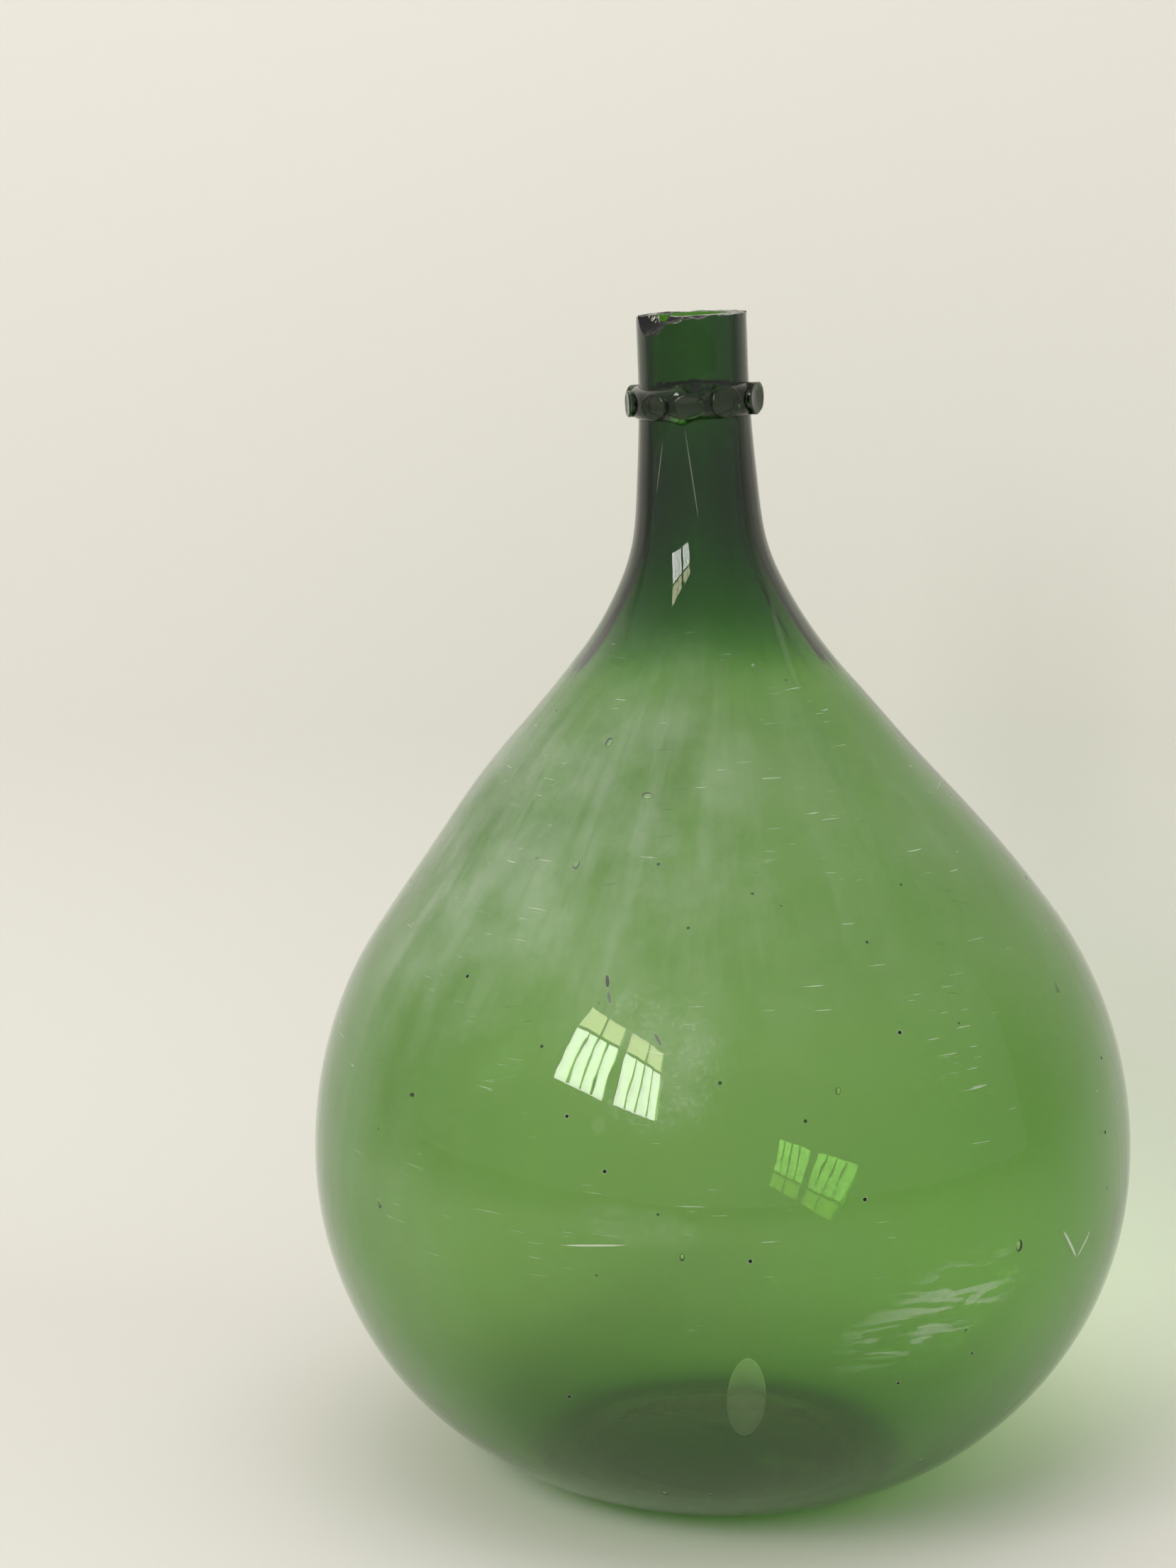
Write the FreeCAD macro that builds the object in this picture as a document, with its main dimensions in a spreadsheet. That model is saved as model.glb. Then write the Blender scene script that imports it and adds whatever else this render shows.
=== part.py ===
import FreeCAD, Part
import math
import os
import Sketcher
from FreeCAD import Placement, Rotation, Vector

# Hand-blown glass carboy, millimetres. +Z is up and the origin is the centre of the
# foot ring, at its underside. The body is a sphere above its widest height and a
# shorter bowl below it. The shoulder and neck lean towards -X, about the centre of
# that sphere, so the sphere's skin runs on unbroken from one axis to the other.

os.makedirs("parts", exist_ok=True)
doc = FreeCAD.newDocument("glass_carboy")

SIZES = (
    ("body_radius", 170.0, "widest outside radius"),
    ("belly_height", 137.0, "height of the widest place above the foot"),
    ("bowl_surplus", 6.0, "how much longer the bowl's arc radius is than the belly height"),
    ("heel_radius", 40.0, "arc between the bowl and the foot ring"),
    ("foot_ring_width", 10.0, "flat ring that the carboy stands on"),
    ("punt_height", 6.0, "push-up in the middle of the foot"),
    ("shoulder_latitude", 35.0, "degrees up the sphere where the shoulder starts"),
    ("shoulder_radius", 930.0, "long outward arc of the shoulder"),
    ("throat_bend_radius", 135.0, "inward arc from the shoulder to the throat"),
    ("throat_flare", 2.8, "how much the throat's outside radius exceeds the neck's"),
    ("flare_radius", 500.0, "slow arc from the throat to the straight neck"),
    ("neck_radius", 22.2, "outside radius of the neck"),
    ("neck_length", 72.0, "from the throat to the rim"),
    ("neck_lean", 2.4, "degrees that the neck leans"),
    ("seam_level", 45.0, "where the leaning part takes over, above the sphere's centre"),
    ("body_wall", 2.2, "glass in the body"),
    ("base_wall", 5.0, "glass in the foot"),
    ("bore_radius", 15.0, "straight bore of the neck"),
    ("bore_bend_radius", 120.0, "inward arc of the hollow, below the bore"),
    ("bore_overrun", 5.0, "how far the hollow's solid passes the rim"),
    ("ring_stand", 3.8, "how far the glass ring laid on the neck stands out of it"),
    ("ring_height", 13.0, "height of that ring"),
    ("ring_edge_radius", 4.0, "rounding of its outer edges"),
    ("ring_bite", 1.0, "how far the ring's blank reaches into the neck before it is cut"),
    ("ring_drop", 35.0, "from the rim down to the middle of the ring"),
    ("boss_radius", 6.0, "round bosses pressed on the ring"),
    ("boss_rise", 1.6, "how far a boss stands out of the ring"),
    ("boss_root", 3.0, "how far a boss's blank reaches into the ring before it is cut"),
    ("boss_edge_radius", 1.2, "rounding of a boss's outer edge"),
)

# Degrees round the neck from +X. The bosses were pressed on by eye, not evenly.
BOSS_AZIMUTHS = (13.0, 50.0, 86.0, 122.0, 159.0, 193.0, 233.0, 266.0, 299.0, 337.0)

# The rim is cracked off and never ground. Each chip is a shell-shaped bite:
# degrees round the neck from +X, radius of the bite, depth below the rim, and how far
# the bite's centre lies outside the neck's outer wall.
RIM_CHIPS = (
    (222.0, 9.0, 8.0, 1.0),
    (252.0, 5.0, 2.6, 0.5),
    (278.0, 6.5, 1.8, -1.0),
    (176.0, 7.0, 2.2, 0.0),
    (128.0, 8.0, 1.6, -4.0),
    (20.0, 7.0, 1.2, 1.0),
    (330.0, 5.5, 0.9, 0.5),
)

sheet = doc.addObject("Spreadsheet::Sheet", "Sizes")
for row, (alias, value, meaning) in enumerate(SIZES, start=1):
    sheet.set(f"A{row}", meaning)
    sheet.set(f"B{row}", str(value))
    sheet.setAlias(f"B{row}", alias)
doc.recompute()
size = {alias: float(sheet.get(alias)) for alias, value, meaning in SIZES}

# A sketch's own numbers: the points of an edge, and its origin and two axes.
START, END, CENTRE = 1, 2, 3
ORIGIN, ACROSS, UPWARD = -1, -1, -2
QUARTER = math.pi / 2
UP = Vector(0, 0, 1)
SOLID_OF_REVOLUTION = 360.0


def origin_plane(body, role):
    return next(plane for plane in body.Origin.OriginFeatures if plane.Role == role)


class Outline:
    """A closed sketch on one of its body's planes, with sizes bound to the sheet."""

    def __init__(self, body, name, role="XZ_Plane"):
        self.sketch = body.newObject("Sketcher::SketchObject", name)
        self.sketch.AttachmentSupport = (origin_plane(body, role), [""])
        self.sketch.MapMode = "FlatFace"

    def offset(self, **bound):
        for field, expression in bound.items():
            path = "AttachmentOffset." + field.replace("_", ".")
            self.sketch.setExpression(path, expression)

    def line(self, first, last):
        segment = Part.LineSegment(Vector(*first, 0), Vector(*last, 0))
        return self.sketch.addGeometry(segment, False)

    def arc(self, centre, radius, first_angle, last_angle):
        circle = Part.Circle(Vector(*centre, 0), UP, radius)
        return self.sketch.addGeometry(Part.ArcOfCircle(circle, first_angle, last_angle), False)

    def rule(self, kind, *where):
        self.sketch.addConstraint(Sketcher.Constraint(kind, *where))

    def meet(self, *pairs):
        for pair in pairs:
            self.rule("Coincident", *pair)

    def flow(self, *pairs):
        for pair in pairs:
            self.rule("Tangent", *pair)

    def measure(self, kind, where, value, expression):
        index = self.sketch.addConstraint(Sketcher.Constraint(kind, *where, value))
        self.sketch.setExpression(f"Constraints[{index}]", expression)

    def read(self, kind, where, value, name):
        """A measurement that drives nothing and can be used elsewhere by its name."""
        index = self.sketch.addConstraint(Sketcher.Constraint(kind, *where, value))
        self.sketch.setDriving(index, False)
        self.sketch.renameConstraint(index, name)


def revolve(body, outline, name, axis="V_Axis"):
    feature = body.newObject("PartDesign::Revolution", name)
    feature.Profile = outline.sketch
    feature.ReferenceAxis = (outline.sketch, [axis])
    feature.Angle = SOLID_OF_REVOLUTION
    doc.recompute()
    return feature


def polar(centre, radius, angle):
    return (centre[0] + radius * math.cos(angle), centre[1] + radius * math.sin(angle))


def bowl_outline(body, name, wall, floor, punt):
    """Half section below the neck: foot ring, heel, bowl, and a full crown of sphere."""
    sphere = size["body_radius"] - wall[0]
    bowl = size["belly_height"] + size["bowl_surplus"] - wall[0]
    heel = size["heel_radius"] - wall[0]
    ring = size["foot_ring_width"]
    belly = (0.0, size["belly_height"])
    bowl_centre = (sphere - bowl, size["belly_height"])
    heel_level = floor[0] + heel
    heel_reach = math.sqrt((bowl - heel) ** 2 - (size["belly_height"] - heel_level) ** 2)
    heel_centre = (bowl_centre[0] + heel_reach, heel_level)
    turn = math.atan2(heel_level - size["belly_height"], heel_reach)
    ring_outside = heel_centre[0]
    ring_inside = ring_outside - ring
    punt_rise = punt[0] - floor[0]
    punt_radius = (ring_inside ** 2 + punt_rise ** 2) / (2 * punt_rise)
    punt_centre = (0.0, punt[0] - punt_radius)
    punt_edge = math.atan2(floor[0] - punt_centre[1], ring_inside)

    outline = Outline(body, name)
    dome = outline.arc(punt_centre, punt_radius, punt_edge, QUARTER)
    flat = outline.line((ring_inside, floor[0]), (ring_outside, floor[0]))
    heel_arc = outline.arc(heel_centre, heel, -QUARTER, turn)
    bowl_arc = outline.arc(bowl_centre, bowl, turn, 0.0)
    crown = outline.arc(belly, sphere, 0.0, QUARTER)
    axis = outline.line((0.0, belly[1] + sphere), (0.0, punt[0]))
    outline.meet((dome, START, flat, START), (crown, END, axis, START), (axis, END, dome, END))
    outline.flow((flat, END, heel_arc, START), (heel_arc, END, bowl_arc, START),
                 (bowl_arc, END, crown, START))
    outline.rule("Horizontal", flat)
    if floor[0] == 0:
        outline.rule("PointOnObject", flat, START, ACROSS)
    else:
        outline.measure("DistanceY", (ORIGIN, START, flat, START), floor[0], floor[1])
    outline.rule("PointOnObject", axis, START, UPWARD)
    outline.rule("PointOnObject", axis, END, UPWARD)
    outline.rule("PointOnObject", crown, CENTRE, UPWARD)
    outline.rule("PointOnObject", dome, CENTRE, UPWARD)
    outline.measure("DistanceY", (ORIGIN, START, crown, CENTRE), belly[1], "Sizes.belly_height")
    outline.measure("DistanceY", (ORIGIN, START, bowl_arc, CENTRE), belly[1], "Sizes.belly_height")
    outline.measure("Radius", (crown,), sphere, f"Sizes.body_radius - {wall[1]}")
    outline.measure("Radius", (bowl_arc,), bowl,
                    f"Sizes.belly_height + Sizes.bowl_surplus - {wall[1]}")
    outline.measure("Radius", (heel_arc,), heel, f"Sizes.heel_radius - {wall[1]}")
    outline.measure("DistanceX", (flat, START, flat, END), ring, "Sizes.foot_ring_width")
    outline.measure("DistanceY", (ORIGIN, START, axis, END), punt[0], punt[1])
    return outline


def leaning():
    """The turn from upright to the leaning axis of the shoulder and neck."""
    return Rotation(Vector(0, -1, 0), size["neck_lean"])


def lean_about_belly(outline):
    """Turns an XZ sketch to the leaning axis, with its origin at the sphere's centre."""
    outline.offset(Base_y="Sizes.belly_height", Rotation_Angle="Sizes.neck_lean")


def neck_outline(body, name, wall, bend, flare, neck, rim):
    """Half section above the seam: sphere, shoulder, throat bend, flare and neck."""
    sphere = size["body_radius"] - wall[0]
    shoulder = size["shoulder_radius"] - wall[0]
    low = math.radians(size["shoulder_latitude"])
    throat = neck[0] + (size["throat_flare"] if flare else 0.0)
    high = math.acos(1 - (throat - neck[0]) / flare[0]) if flare else 0.0
    reach = sphere * math.cos(low) - throat
    turn = math.acos((shoulder * math.cos(low) + bend[0] * math.cos(high) - reach)
                     / (shoulder + bend[0]))
    seam = math.asin(size["seam_level"] / sphere)
    shoulder_centre = polar((0, 0), sphere - shoulder, low)
    bend_centre = polar(shoulder_centre, shoulder + bend[0], turn)
    throat_point = polar(bend_centre, bend[0], math.pi + high)
    neck_foot = throat_point
    if flare:
        flare_centre = polar(throat_point, flare[0], high)
        neck_foot = polar(flare_centre, flare[0], math.pi)
    rim_level = throat_point[1] + size["neck_length"] if flare else rim[0]

    outline = Outline(body, name)
    lean_about_belly(outline)
    disc = outline.line((0, size["seam_level"]), polar((0, 0), sphere, seam))
    zone = outline.arc((0, 0), sphere, seam, low)
    slope = outline.arc(shoulder_centre, shoulder, low, turn)
    bend_arc = outline.arc(bend_centre, bend[0], math.pi + high, math.pi + turn)
    side = outline.line(neck_foot, (neck[0], rim_level))
    top = outline.line((neck[0], rim_level), (0, rim_level))
    axis = outline.line((0, rim_level), (0, size["seam_level"]))
    outline.meet((disc, END, zone, START), (side, END, top, START), (top, END, axis, START),
                 (axis, END, disc, START), (zone, CENTRE, ORIGIN, START))
    outline.flow((zone, END, slope, START), (slope, END, bend_arc, END))
    outline.rule("Horizontal", disc)
    outline.rule("Horizontal", top)
    outline.rule("Vertical", side)
    outline.rule("PointOnObject", axis, START, UPWARD)
    outline.rule("PointOnObject", axis, END, UPWARD)
    outline.measure("DistanceY", (ORIGIN, START, axis, END), size["seam_level"], "Sizes.seam_level")
    outline.measure("Radius", (zone,), sphere, f"Sizes.body_radius - {wall[1]}")
    outline.measure("Radius", (slope,), shoulder, f"Sizes.shoulder_radius - {wall[1]}")
    outline.measure("Radius", (bend_arc,), bend[0], bend[1])
    outline.measure("DistanceY", (ORIGIN, START, zone, END), sphere * math.sin(low),
                    f"(Sizes.body_radius - {wall[1]}) * sin(Sizes.shoulder_latitude)")
    outline.measure("DistanceX", (ORIGIN, START, side, END), neck[0], neck[1])
    if flare:
        flare_arc = outline.arc(flare_centre, flare[0], math.pi, math.pi + high)
        outline.flow((bend_arc, START, flare_arc, END), (flare_arc, START, side, START))
        outline.measure("Radius", (flare_arc,), flare[0], flare[1])
        outline.measure("DistanceX", (ORIGIN, START, bend_arc, START), throat,
                        f"{neck[1]} + Sizes.throat_flare")
        outline.measure("DistanceY", (bend_arc, START, side, END), size["neck_length"],
                        "Sizes.neck_length")
        outline.read("DistanceY", (ORIGIN, START, side, END), rim_level, "rim_level")
    else:
        outline.flow((bend_arc, START, side, START))
        outline.measure("DistanceY", (ORIGIN, START, side, END), rim_level, rim[1])
    return outline, rim_level


def blown_body(name, wall, floor, punt, bend, flare, neck, rim):
    """One solid of revolution below the seam and one, leaning, above it."""
    body = doc.addObject("PartDesign::Body", name)
    bowl_sketch = bowl_outline(body, f"{name}_bowl_outline", wall, floor, punt)
    bowl = revolve(body, bowl_sketch, f"{name}_bowl")
    crown = 2 / 3 * math.pi * (size["body_radius"] - wall[0]) ** 3
    least_cut = crown / 4
    whole_bowl = bowl.Shape.Volume

    cut = Outline(body, f"{name}_seam_outline", "XY_Plane")
    cut.sketch.AttachmentOffset = Placement(Vector(), leaning())
    cut.offset(Base_x="-Sizes.seam_level * sin(Sizes.neck_lean)",
               Base_z="Sizes.belly_height + Sizes.seam_level * cos(Sizes.neck_lean)",
               Rotation_Angle="Sizes.neck_lean")
    circle = cut.sketch.addGeometry(Part.Circle(Vector(), UP, size["body_radius"]), False)
    cut.meet((circle, CENTRE, ORIGIN, START))
    cut.measure("Radius", (circle,), size["body_radius"], "Sizes.body_radius")
    pocket = body.newObject("PartDesign::Pocket", f"{name}_seam")
    pocket.Profile = cut.sketch
    pocket.Reversed = True
    pocket.setExpression("Length", "Sizes.body_radius")
    doc.recompute()
    if whole_bowl - pocket.Shape.Volume < least_cut:
        raise RuntimeError(f"{name}: the seam cut missed the crown")

    outline, rim_level = neck_outline(body, f"{name}_neck_outline", wall, bend, flare, neck, rim)
    feature = revolve(body, outline, f"{name}_neck")
    if feature.Shape.Volume < pocket.Shape.Volume:
        raise RuntimeError(f"{name}: the neck added nothing")
    body.Tip = feature
    return body, outline, rim_level


def cut_away(name, base, tool):
    result = doc.addObject("Part::Cut", name)
    result.Base = base
    result.Tool = tool
    doc.recompute()
    return result


def on_neck(level, azimuth=0.0):
    """Placement on the leaning axis, at a level above the sphere's centre."""
    lean = Placement(Vector(0, 0, size["belly_height"]), leaning())
    turn = Placement(Vector(0, 0, level), Rotation(UP, azimuth))
    return lean.multiply(turn)


def glass_vessel():
    """Body and neck, blown as one piece, hollow, with a cracked-off rim."""
    outside, neck_sketch, rim_level = blown_body(
        "vessel_outside",
        wall=(0.0, "0"),
        floor=(0.0, "0"),
        punt=(size["punt_height"], "Sizes.punt_height"),
        bend=(size["throat_bend_radius"], "Sizes.throat_bend_radius"),
        flare=(size["flare_radius"], "Sizes.flare_radius"),
        neck=(size["neck_radius"], "Sizes.neck_radius"),
        rim=None)
    hollow = blown_body(
        "vessel_hollow",
        wall=(size["body_wall"], "Sizes.body_wall"),
        floor=(size["base_wall"], "Sizes.base_wall"),
        punt=(size["punt_height"] + size["base_wall"], "Sizes.punt_height + Sizes.base_wall"),
        bend=(size["bore_bend_radius"], "Sizes.bore_bend_radius"),
        flare=None,
        neck=(size["bore_radius"], "Sizes.bore_radius"),
        rim=(rim_level + size["bore_overrun"],
             f"{neck_sketch.sketch.Name}.Constraints.rim_level + Sizes.bore_overrun * 1 mm"))[0]
    blown = cut_away("vessel_blown", outside, hollow)
    bites = []
    for number, (azimuth, radius, depth, outward) in enumerate(RIM_CHIPS, start=1):
        bite = doc.addObject("Part::Sphere", f"rim_bite_{number}")
        bite.Radius = radius
        reach = Placement(Vector(size["neck_radius"] + outward, 0, radius - depth), Rotation())
        bite.Placement = on_neck(rim_level, azimuth).multiply(reach)
        bites.append(bite)
    all_bites = doc.addObject("Part::MultiFuse", "rim_bites")
    all_bites.Shapes = bites
    vessel = cut_away("glass_vessel", blown, all_bites)
    return vessel, outside, rim_level


def neck_ring(outside, rim_level):
    """Trail of glass laid round the neck while hot, so it hugs the neck's flare."""
    half = size["ring_height"] / 2
    edge = size["ring_edge_radius"]
    inner = size["neck_radius"] - size["ring_bite"]
    outer = size["neck_radius"] + size["ring_stand"]
    body = doc.addObject("PartDesign::Body", "ring_blank")
    body.Placement = on_neck(rim_level - size["ring_drop"])
    outline = Outline(body, "ring_outline")
    bottom = outline.line((inner, -half), (outer - edge, -half))
    low_edge = outline.arc((outer - edge, edge - half), edge, -QUARTER, 0)
    face = outline.line((outer, edge - half), (outer, half - edge))
    high_edge = outline.arc((outer - edge, half - edge), edge, 0, QUARTER)
    top = outline.line((outer - edge, half), (inner, half))
    bore = outline.line((inner, half), (inner, -half))
    outline.meet((top, END, bore, START), (bore, END, bottom, START))
    outline.flow((bottom, END, low_edge, START), (low_edge, END, face, START),
                 (face, END, high_edge, START), (high_edge, END, top, START))
    outline.rule("Horizontal", bottom)
    outline.rule("Vertical", face)
    outline.rule("Horizontal", top)
    outline.rule("Symmetric", bore, START, bore, END, ACROSS)
    outline.measure("Radius", (low_edge,), edge, "Sizes.ring_edge_radius")
    outline.measure("Radius", (high_edge,), edge, "Sizes.ring_edge_radius")
    outline.measure("DistanceX", (ORIGIN, START, bore, END), inner,
                    "Sizes.neck_radius - Sizes.ring_bite")
    outline.measure("DistanceX", (ORIGIN, START, face, START), outer,
                    "Sizes.neck_radius + Sizes.ring_stand")
    outline.measure("DistanceY", (bore, END, bore, START), 2 * half, "Sizes.ring_height")
    revolve(body, outline, "ring_turned")
    return cut_away("neck_ring", body, outside), body


def ring_boss(number, azimuth, ring_blank, rim_level):
    """Round boss pressed on the ring: a short disc with a rounded outer edge."""
    ring_face = size["neck_radius"] + size["ring_stand"]
    root = ring_face - size["boss_root"]
    crest = ring_face + size["boss_rise"]
    edge = size["boss_edge_radius"]
    radius = size["boss_radius"]
    body = doc.addObject("PartDesign::Body", f"boss_blank_{number:02d}")
    body.Placement = on_neck(rim_level - size["ring_drop"], azimuth)
    outline = Outline(body, f"boss_outline_{number:02d}")
    axis = outline.line((crest, 0), (root, 0))
    back = outline.line((root, 0), (root, radius))
    side = outline.line((root, radius), (crest - edge, radius))
    rounding = outline.arc((crest - edge, radius - edge), edge, 0, QUARTER)
    front = outline.line((crest, radius - edge), (crest, 0))
    outline.meet((axis, END, back, START), (back, END, side, START), (front, END, axis, START))
    outline.flow((side, END, rounding, END), (rounding, START, front, START))
    outline.rule("PointOnObject", axis, START, ACROSS)
    outline.rule("PointOnObject", axis, END, ACROSS)
    outline.rule("Vertical", back)
    outline.rule("Horizontal", side)
    outline.rule("Vertical", front)
    outline.measure("Radius", (rounding,), edge, "Sizes.boss_edge_radius")
    outline.measure("DistanceX", (ORIGIN, START, back, START), root,
                    "Sizes.neck_radius + Sizes.ring_stand - Sizes.boss_root")
    outline.measure("DistanceX", (ORIGIN, START, front, END), crest,
                    "Sizes.neck_radius + Sizes.ring_stand + Sizes.boss_rise")
    outline.measure("DistanceY", (back, START, back, END), radius, "Sizes.boss_radius")
    revolve(body, outline, f"boss_turned_{number:02d}", "H_Axis")
    return cut_away(f"ring_boss_{number:02d}", body, ring_blank)


vessel, vessel_outside, rim_above_belly = glass_vessel()
ring, ring_body = neck_ring(vessel_outside, rim_above_belly)
nodes = [vessel, ring]
for number, azimuth in enumerate(BOSS_AZIMUTHS, start=1):
    nodes.append(ring_boss(number, azimuth, ring_body, rim_above_belly))

doc.recompute()
for item in doc.Objects:
    if "Invalid" in item.State or "Error" in item.State:
        raise RuntimeError(f"{item.Name} failed: {item.State}")
for node in nodes:
    if node.Shape.isNull() or not node.Shape.isValid():
        raise RuntimeError(f"{node.Name} has no valid shape")
    node.Label = node.Name
    node.Shape.exportStep(f"parts/{node.Label}.step")
    box = node.Shape.BoundBox
    print(node.Label, len(node.Shape.Solids), "solid", round(node.Shape.Volume / 1000, 2), "cm3",
          [round(edge, 2) for edge in (box.XMin, box.YMin, box.ZMin, box.XMax, box.YMax, box.ZMax)])
print("rim above the belly:", round(rim_above_belly, 2))
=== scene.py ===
import math
import bmesh
import bpy
from mathutils import Matrix, Vector, noise
from mathutils.bvhtree import BVHTree


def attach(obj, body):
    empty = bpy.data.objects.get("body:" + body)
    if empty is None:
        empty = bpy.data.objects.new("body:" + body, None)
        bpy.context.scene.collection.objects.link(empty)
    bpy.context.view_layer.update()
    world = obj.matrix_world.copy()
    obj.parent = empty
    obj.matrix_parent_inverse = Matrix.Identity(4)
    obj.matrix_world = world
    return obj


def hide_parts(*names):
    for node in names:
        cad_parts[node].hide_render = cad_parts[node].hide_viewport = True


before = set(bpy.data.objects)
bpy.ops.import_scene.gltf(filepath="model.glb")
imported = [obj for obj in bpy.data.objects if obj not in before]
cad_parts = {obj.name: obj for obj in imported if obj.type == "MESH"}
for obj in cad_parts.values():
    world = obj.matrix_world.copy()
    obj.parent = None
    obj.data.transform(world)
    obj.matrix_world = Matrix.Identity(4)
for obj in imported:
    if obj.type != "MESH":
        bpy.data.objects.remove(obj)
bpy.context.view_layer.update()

# Hand-blown green glass carboy. Metres, +Z up, origin at the centre of the foot ring,
# at its underside. The shoulder and neck lean towards -X.

# The vessel's driving dimensions, the same as the CAD solids have.
BODY_RADIUS = 0.170
BELLY_HEIGHT = 0.137
BOWL_SURPLUS = 0.006
HEEL_RADIUS = 0.040
FOOT_RING_WIDTH = 0.010
PUNT_HEIGHT = 0.006
SHOULDER_LATITUDE = math.radians(35.0)
SHOULDER_RADIUS = 0.930
THROAT_BEND_RADIUS = 0.135
THROAT_FLARE = 0.0028
FLARE_RADIUS = 0.500
NECK_RADIUS = 0.0222
NECK_LENGTH = 0.072
NECK_LEAN = math.radians(2.4)
BODY_WALL = 0.0022
BASE_WALL = 0.0050
BORE_RADIUS = 0.0150
BORE_BEND_RADIUS = 0.120
RING_STAND = 0.0038
RING_HEIGHT = 0.013
RING_EDGE_RADIUS = 0.004
RING_DROP = 0.035
BOSS_RADIUS = 0.006
BOSS_RISE = 0.0016
BOSS_AZIMUTHS = (13.0, 50.0, 86.0, 122.0, 159.0, 193.0, 233.0, 266.0, 299.0, 337.0)

# Rim chips: degrees round the neck from +X, bite radius, depth below the rim, and how
# far the bite's centre lies outside the neck's outer wall.
RIM_CHIPS = (
    (222.0, 0.0090, 0.0080, 0.0010),
    (252.0, 0.0050, 0.0026, 0.0005),
    (278.0, 0.0065, 0.0018, -0.0010),
    (176.0, 0.0070, 0.0022, 0.0000),
    (128.0, 0.0080, 0.0016, -0.0040),
    (20.0, 0.0070, 0.0012, 0.0010),
    (330.0, 0.0055, 0.0009, 0.0005),
)

# Flakes that came off the edge of the rim as well, given the same way.
RIM_FLAKES = (
    (232.0, 0.0040, 0.0042, 0.0000),
    (241.0, 0.0030, 0.0016, 0.0002),
    (247.0, 0.0034, 0.0030, 0.0006),
    (259.0, 0.0022, 0.0011, 0.0003),
    (266.0, 0.0026, 0.0018, 0.0004),
    (272.0, 0.0018, 0.0008, 0.0000),
    (289.0, 0.0030, 0.0009, 0.0010),
    (303.0, 0.0024, 0.0012, 0.0006),
    (316.0, 0.0034, 0.0007, 0.0010),
    (205.0, 0.0036, 0.0020, 0.0008),
    (190.0, 0.0024, 0.0009, 0.0000),
    (150.0, 0.0034, 0.0012, 0.0004),
    (112.0, 0.0028, 0.0010, -0.0060),
    (92.0, 0.0030, 0.0013, 0.0006),
    (64.0, 0.0040, 0.0010, -0.0050),
    (42.0, 0.0026, 0.0012, 0.0004),
    (352.0, 0.0030, 0.0010, 0.0006),
)

FULL = 2 * math.pi
QUARTER = math.pi / 2
AROUND = 256
BELLY = Vector((0, 0, BELLY_HEIGHT))


# ---------------------------------------------------------------- mesh helpers

def polar(centre, radius, angle):
    return (centre[0] + radius * math.cos(angle), centre[1] + radius * math.sin(angle))


class Pen:
    """Draws a half section in the XZ plane: its tip is spun along arcs and pulled along lines."""

    def __init__(self, bm, start):
        self.bm = bm
        self.tip = bm.verts.new((start[0], 0, start[1]))

    def arc(self, centre, turn, spacing):
        radius = math.hypot(self.tip.co.x - centre[0], self.tip.co.z - centre[1])
        steps = max(2, round(abs(turn) * radius / spacing))
        spun = bmesh.ops.spin(self.bm, geom=[self.tip], cent=(centre[0], 0, centre[1]),
                              axis=(0, -1, 0), angle=turn, steps=steps)
        self.tip = next(g for g in spun["geom_last"] if isinstance(g, bmesh.types.BMVert))

    def line(self, end, spacing):
        start = self.tip.co.copy()
        goal = Vector((end[0], 0, end[1]))
        steps = max(1, round((goal - start).length / spacing))
        for step in range(1, steps + 1):
            pulled = bmesh.ops.extrude_vert_indiv(self.bm, verts=[self.tip])["verts"][0]
            pulled.co = start.lerp(goal, step / steps)
            self.tip = pulled


def spin_round(bm, segments, centre=(0, 0, 0), axis=(0, 0, 1)):
    """Turns the drawn section into a closed body of revolution."""
    bmesh.ops.spin(bm, geom=bm.verts[:] + bm.edges[:], cent=centre, axis=axis,
                   angle=FULL, steps=segments, use_merge=True)
    bmesh.ops.remove_doubles(bm, verts=bm.verts, dist=1e-6)
    bmesh.ops.recalc_face_normals(bm, faces=bm.faces)


def finished(name, bm, material):
    """Makes the mesh an object with one material and adds it to the scene."""
    mesh = bpy.data.meshes.new(name)
    bm.to_mesh(mesh)
    bm.free()
    mesh.materials.append(material)
    piece = bpy.data.objects.new(name, mesh)
    bpy.context.scene.collection.objects.link(piece)
    return piece


def bump_at(value, centre, spread):
    """A smooth hump, 1 at its centre."""
    return math.exp(-((value - centre) / spread) ** 2)


def smoothed(value, low, high):
    t = min(max((value - low) / (high - low), 0.0), 1.0)
    return t * t * (3 - 2 * t)


def angle_from(azimuth, degrees):
    """How far an azimuth lies from another, in degrees, -180 to 180."""
    return (math.degrees(azimuth) - degrees + 180) % 360 - 180


# ---------------------------------------------------------------- shader helper

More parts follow.
